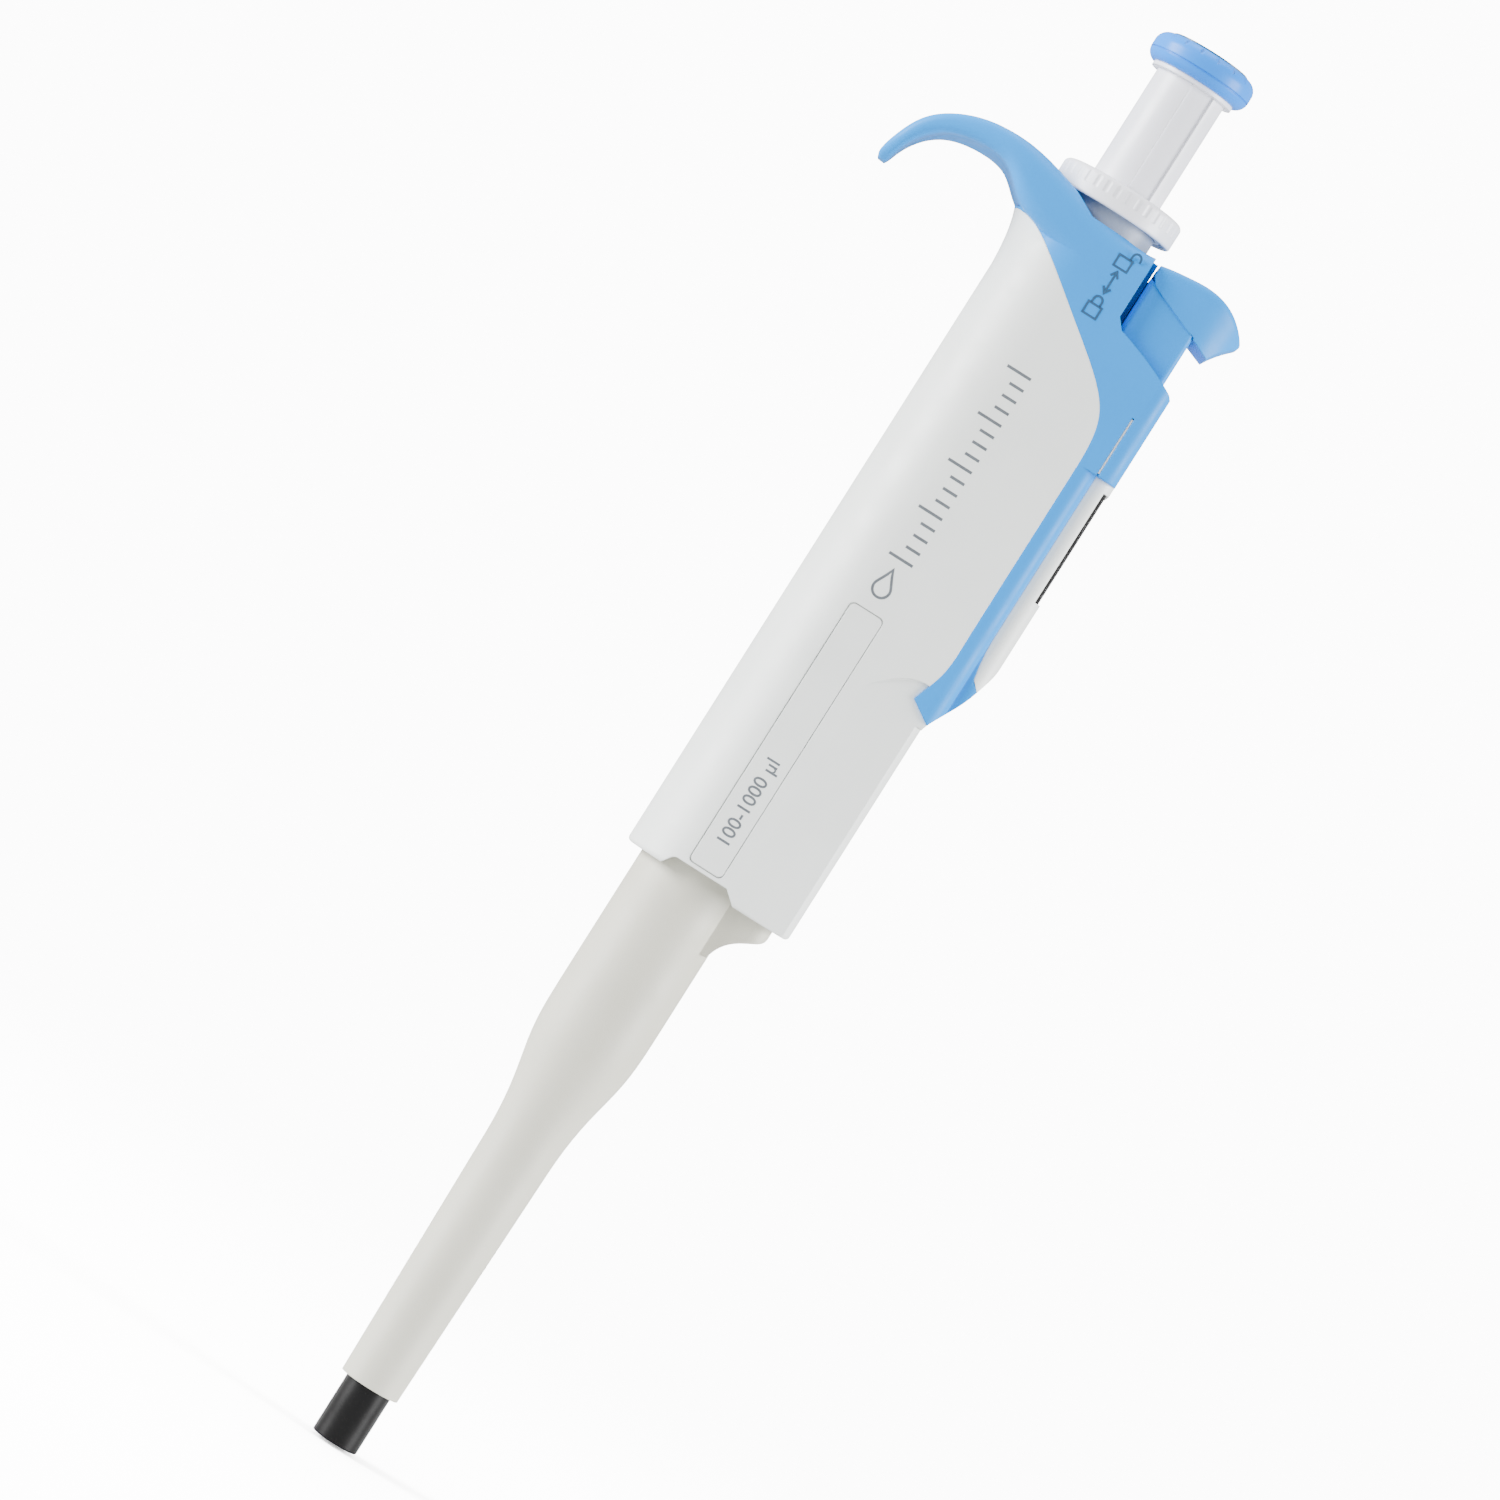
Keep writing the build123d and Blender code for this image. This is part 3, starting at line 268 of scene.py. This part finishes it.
# --- Printed marks and other fine pieces ---------------------------------------------------------
SIDE_Y = -10.95             # flat side wall of the grip and the head, millimetres
PLATE_Y = -10.97            # face of the label plate, and the level of the padlocks on the head
HIGHLIGHT_STRIP_SINK = 0.08           # how far the surface line of the painted highlight strips lies inside the side wall
INK = 0.02                  # ink height
INK_ROOT = 0.05             # how deep a printed line's closed underside lies in the surface
ICON_LINE = 0.34            # line width of the padlocks and the arrow
CAPITAL_SHARE = 0.729       # height of a capital in the built-in font, as a share of its size


def add_piece(name, mesh, material, body):
    """Puts a mesh in the scene as a piece of the object that rides on a body."""
    mesh.materials.append(material)
    piece = bpy.data.objects.new(name, mesh)
    bpy.context.scene.collection.objects.link(piece)
    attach(piece, body)
    return piece


def finish_mesh(name, shape):
    """Mesh from a bmesh in millimetres, with outward normals, scaled to metres."""
    bmesh.ops.recalc_face_normals(shape, faces=shape.faces)
    bmesh.ops.scale(shape, vec=(MM, MM, MM), verts=shape.verts)
    mesh = bpy.data.meshes.new(name)
    shape.to_mesh(mesh)
    shape.free()
    return mesh


def grip_side(x):
    """Y of the grip's side surface at a place along X: flat in front, round behind."""
    return SIDE_Y if x >= 0 else -math.sqrt(SIDE_Y * SIDE_Y - x * x)


def plate_side(x):
    """Y of the label plate's face."""
    return PLATE_Y


def groove_floor(x):
    """Y that brings the pale strips of painted highlight just under the edges of the head's side
    grooves.
    """
    return SIDE_Y + HIGHLIGHT_STRIP_SINK


def ribbon(shape, path, width, skin, closed=False):
    """Thin raised line of even width along an (x, z) path on a side surface."""
    count = len(path)
    rings = []
    for index, (x, z) in enumerate(path):
        before = path[index - 1] if closed or index > 0 else path[index]
        after = path[(index + 1) % count] if closed or index < count - 1 else path[index]
        first = Vector((x - before[0], z - before[1]))
        second = Vector((after[0] - x, after[1] - z))
        along = (first.normalized() + second.normalized()).normalized()
        side = Vector((-along.y, along.x))
        reference = first if first.length > 0 else second
        across = Vector((-reference.y, reference.x)).normalized()
        reach = width / 2 / max(0.5, abs(side.dot(across)))
        ring = []
        for sign, height in ((1, INK), (-1, INK), (-1, -INK_ROOT), (1, -INK_ROOT)):
            px, pz = x + sign * reach * side.x, z + sign * reach * side.y
            ring.append(shape.verts.new((px, skin(px) - height, pz)))
        rings.append(ring)
    pairs = list(zip(rings, rings[1:])) + ([(rings[-1], rings[0])] if closed else [])
    for start, end in pairs:
        for corner in range(4):
            following = (corner + 1) % 4
            shape.faces.new((start[corner], start[following], end[following], end[corner]))
    if not closed:
        shape.faces.new(rings[0])
        shape.faces.new(reversed(rings[-1]))


def arc_points(x, z, radius, start, stop, count):
    """Points on an arc in the side view, angles in degrees from +X towards +Z."""
    angles = [math.radians(start + (stop - start) * index / (count - 1)) for index in range(count)]
    return [(x + radius * math.cos(angle), z + radius * math.sin(angle)) for angle in angles]


def padlock(shape, x, z, opened):
    """Outline padlock; the shackle is swung to the front when it is open."""
    half, top = 1.1, z + 1.8
    shackle_r, foot_z, lifted_z = 0.68, z + 1.9, z + 2.1
    body = [(x - half, z), (x + half, z), (x + half, top), (x - half, top)]
    ribbon(shape, body, ICON_LINE, plate_side, closed=True)
    centre = x + 1.35 if opened else x
    shackle = arc_points(centre, z + 2.5, shackle_r, 180, 0, 9)
    foot = [(centre - shackle_r, foot_z)]
    other = [(centre + shackle_r, lifted_z if opened else foot_z)]
    ribbon(shape, foot + shackle + other, ICON_LINE, plate_side)


def make_lock_icons():
    """Closed padlock, double arrow and open padlock beside the lock ring."""
    arrow_x, barb_out, barb_up = 5.2, 0.6, 0.9
    arrow_low, arrow_high = 201.3, 204.9
    shape = bmesh.new()
    padlock(shape, 5.05, 197.4, False)
    padlock(shape, 5.25, 205.5, True)
    ribbon(shape, [(arrow_x, arrow_low + 0.4), (arrow_x, arrow_high - 0.4)], ICON_LINE, plate_side)
    for tip, step in ((arrow_low, 1), (arrow_high, -1)):
        barb_z = tip + barb_up * step
        barbs = [(arrow_x - barb_out, barb_z), (arrow_x, tip), (arrow_x + barb_out, barb_z)]
        ribbon(shape, barbs, ICON_LINE, plate_side)
    add_piece("lock_icons", finish_mesh("lock_icons", shape), icon_blue, "handle")


def make_side_motif():
    """Plain column of measuring ticks with a drop outline, printed on the side of the grip."""
    ticks, first_z, pitch = 17, 153.0, 2.0
    long_tick, short_tick, long_every = 4.0, 2.4, 4
    front_x, columns = 3.0, 9
    shape = bmesh.new()
    for index in range(ticks):
        z = first_z + pitch * index
        reach = long_tick if index % long_every == 0 else short_tick
        path = [(front_x - reach * column / (columns - 1), z) for column in range(columns)]
        ribbon(shape, path, 0.45, grip_side)
    drop = arc_points(0.9, 147.9, 1.35, -210, 30, 17)
    shoulder = [(1.3, 150.1), (0.9, 151.1), (0.5, 150.1)]
    ribbon(shape, drop + shoulder, 0.4, grip_side, closed=True)
    add_piece("side_motif", finish_mesh("side_motif", shape), print_grey, "handle")


def text_mesh(name, words, height, thickness, weight=0.0):
    """Flat centred mesh of generic lettering, height tall; weight thickens its strokes."""
    curve = bpy.data.curves.new(name, "FONT")
    curve.body = words
    curve.size = height / CAPITAL_SHARE
    curve.extrude = thickness / 2
    curve.align_x = "CENTER"
    curve.align_y = "CENTER"
    curve.resolution_u = 4
    curve.offset = weight
    holder = bpy.data.objects.new(name + "_source", curve)
    mesh = bpy.data.meshes.new_from_object(holder)
    bpy.data.objects.remove(holder)
    bpy.data.curves.remove(curve)
    return mesh


def make_painted_highlight_lines():
    """Pale strips in the short grooves on both sides of the head: a painted highlight along the
    grooves' edges.
    """
    groove_x = 18.525
    shape = bmesh.new()
    # painted highlight: white shell strips stand in for light catching the grooves' edges
    ribbon(shape, [(groove_x, z) for z in (178.8, 183.5, 188.0)], 0.3, groove_floor)
    whole = shape.verts[:] + shape.edges[:] + shape.faces[:]
    bmesh.ops.mirror(shape, geom=whole, axis="Y", merge_dist=-1)
    add_piece("painted_highlight_lines", finish_mesh("painted_highlight_lines", shape), shell_white, "handle")


def make_range_text():
    """Volume range on the label plate, read upwards along the pipette."""
    middle_x, middle_z, sink = 1.2, 111.4, 0.01
    mesh = text_mesh("range_text", "100-1000 µl", 2.2, 0.06, weight=0.035)
    for vertex in mesh.vertices:
        along, up, out = vertex.co
        vertex.co = Vector((middle_x - up, PLATE_Y + sink - out, middle_z + along)) * MM
    add_piece("range_text", mesh, print_grey, "handle")


def make_digits():
    """Ten raised digits round each number wheel; the display reads 0500 at rest."""
    wheels = (("units_wheel", 0), ("tens_wheel", 0), ("hundreds_wheel", 5), ("thousands_wheel", 0))
    digits, digit_height, thickness = 10, 2.25, 0.08
    below_top, raised = 1.6, 0.05
    for index, (body, shown) in enumerate(wheels):
        low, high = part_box(f"number_wheel_{index + 1}")
        middle = high.z / MM - below_top
        axis_x = (low.x + high.x) / 2 / MM
        radius = (high.x - low.x) / 2 / MM + raised
        shape = bmesh.new()
        for step in range(digits):
            glyph = text_mesh("digit", str((shown + step) % digits), digit_height, thickness)
            for vertex in glyph.vertices:
                across, up, out = vertex.co
                angle = math.radians(360 / digits * step) + across / radius
                reach = radius + out
                vertex.co = (axis_x + reach * math.cos(angle), reach * math.sin(angle), middle + up)
            shape.from_mesh(glyph)
            bpy.data.meshes.remove(glyph)
        name = "digits_" + body.split("_")[0]
        add_piece(name, finish_mesh(name, shape), digit_white, body)


make_lock_icons()
make_side_motif()
make_painted_highlight_lines()
make_range_text()
make_digits()


# --- Stage, light and camera ---------------------------------------------------------------------
def make_floor():
    """Pale floor under the nose that fades out evenly away from the object."""
    reach, fade_from, fade_to = 0.9, 0.12, 0.55
    gap = 0.0005
    mesh = bpy.data.meshes.new("floor")
    shape = bmesh.new()
    bmesh.ops.create_circle(shape, cap_ends=True, segments=96, radius=reach)
    shape.to_mesh(mesh)
    shape.free()
    floor = bpy.data.objects.new("floor", mesh)
    floor.location.z = cad_low.z - gap
    bpy.context.scene.collection.objects.link(floor)
    material = bpy.data.materials.new("floor_pale")
    material.use_nodes = True
    tree = material.node_tree
    tree.nodes.clear()
    output = tree.nodes.new("ShaderNodeOutputMaterial")
    seen = tree.nodes.new("ShaderNodeBsdfDiffuse")
    lit = tree.nodes.new("ShaderNodeBsdfDiffuse")
    seen.inputs["Color"].default_value = (FLOOR_GAIN, FLOOR_GAIN, FLOOR_GAIN, 1)
    tree.links.new(ramp(tree, noise(tree, 8.0, 2.0), 0.80, 0.83), lit.inputs["Color"])
    path = tree.nodes.new("ShaderNodeLightPath")
    surface = tree.nodes.new("ShaderNodeMixShader")
    tree.links.new(path.outputs["Is Camera Ray"], surface.inputs[0])
    tree.links.new(lit.outputs[0], surface.inputs[1])
    tree.links.new(seen.outputs[0], surface.inputs[2])
    distance = tree.nodes.new("ShaderNodeVectorMath")
    distance.operation = "LENGTH"
    tree.links.new(object_point(tree), distance.inputs[0])
    fade = node(tree, "ShaderNodeMapRange", From_Min=fade_from, From_Max=fade_to)
    fade.interpolation_type = "SMOOTHSTEP"
    tree.links.new(distance.outputs["Value"], fade.inputs["Value"])
    clear = tree.nodes.new("ShaderNodeBsdfTransparent")
    blend = tree.nodes.new("ShaderNodeMixShader")
    tree.links.new(fade.outputs["Result"], blend.inputs[0])
    tree.links.new(surface.outputs[0], blend.inputs[1])
    tree.links.new(clear.outputs[0], blend.inputs[2])
    tree.links.new(blend.outputs[0], output.inputs["Surface"])
    mesh.materials.append(material)


def area_light(name, place, target, size, power):
    """Square soft box aimed at a point."""
    light = bpy.data.lights.new(name, "AREA")
    light.shape = "SQUARE"
    light.size = size
    light.energy = power
    lamp = bpy.data.objects.new(name, light)
    lamp.location = place
    lamp.rotation_mode = "QUATERNION"
    lamp.rotation_quaternion = (Vector(target) - Vector(place)).to_track_quat("-Z", "Y")
    bpy.context.scene.collection.objects.link(lamp)


def make_lights():
    """Bright even surroundings with soft boxes to the left, right and above."""
    world = bpy.data.worlds.new("studio")
    bpy.context.scene.world = world
    world.use_nodes = True
    tree = world.node_tree
    tree.nodes.clear()
    output = tree.nodes.new("ShaderNodeOutputWorld")
    seen = node(tree, "ShaderNodeBackground", Strength=BACKDROP)
    lit = node(tree, "ShaderNodeBackground", Strength=ROOM_LIGHT)
    for background in (seen, lit):
        background.inputs["Color"].default_value = (1, 1, 1, 1)
    path = tree.nodes.new("ShaderNodeLightPath")
    mix = tree.nodes.new("ShaderNodeMixShader")
    tree.links.new(path.outputs["Is Camera Ray"], mix.inputs[0])
    tree.links.new(lit.outputs[0], mix.inputs[1])
    tree.links.new(seen.outputs[0], mix.inputs[2])
    tree.links.new(mix.outputs[0], output.inputs["Surface"])
    middle = (0, 0, 0.12)
    area_light("left_box", (-1.3, -0.35, 0.4), middle, 0.7, 64.0)
    area_light("right_box", (1.2, -0.3, 0.3), middle, 0.6, 38.0)
    area_light("top_box", (-0.1, 0.1, 1.2), middle, 0.8, 12.0)


def make_camera():
    """Long lens level with the grip, rolled so that the pipette leans to the right."""
    distance = 1.04
    lean = math.radians(57.66)
    aim = Vector((-2.7 * MM, 0, 118.0 * MM))
    lens = bpy.data.cameras.new("camera")
    lens.lens = 170.6
    lens.sensor_width = 36.0
    camera = bpy.data.objects.new("camera", lens)
    bpy.context.scene.collection.objects.link(camera)
    bpy.context.scene.camera = camera
    right = Vector((math.sin(lean), 0, math.cos(lean)))
    up = Vector((-math.cos(lean), 0, math.sin(lean)))
    back = right.cross(up)
    turn = Matrix((right, up, back)).transposed().to_4x4()
    camera.matrix_world = Matrix.Translation(aim + distance * back) @ turn
    lens.clip_start = 0.05
    lens.clip_end = 20.0


make_floor()
make_lights()
make_camera()
